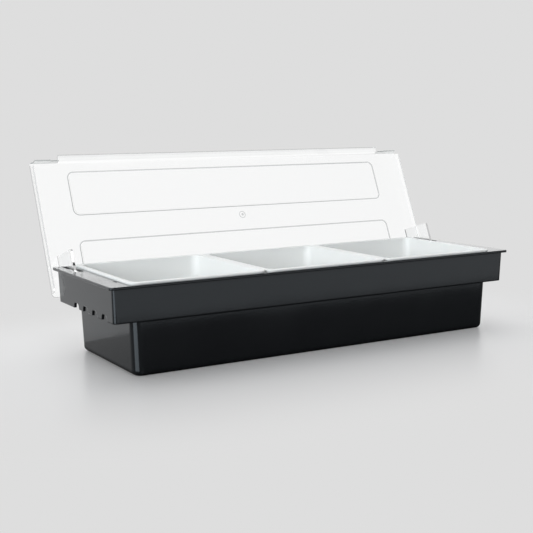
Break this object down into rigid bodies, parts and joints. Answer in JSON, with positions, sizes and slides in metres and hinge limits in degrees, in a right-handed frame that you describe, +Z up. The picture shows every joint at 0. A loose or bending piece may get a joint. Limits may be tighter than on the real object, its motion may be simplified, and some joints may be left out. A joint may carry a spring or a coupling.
{
  "type": "lidded food organizer",
  "caption": "Long black caddy with removable white tubs side by side and a clear lid that tips back on two hinge ears.",
  "frame": {"origin": "centre of the base's underside", "axes": "+X along the caddy to the viewer's right, -Y towards the front, +Z up"},
  "size_m": [0.4974, 0.2206, 0.2059],
  "materials": {
    "base_black": "polished black moulding",
    "insert_white": "satin white moulding",
    "lid_clear": "clear moulding"
  },
  "bodies": {
    "caddy": {"base": "base_black", "insert_left": "insert_white", "insert_middle": "insert_white", "insert_right": "insert_white"},
    "lid": {"lid": "lid_clear"}
  },
  "joints": [
    {"name": "lid_hinge", "type": "hinge", "parent": "caddy", "child": "lid", "pos_m": [0, 0.068, 0.0807], "axis": [1, 0, 0], "range_deg": [0, 113.6]}
  ]
}
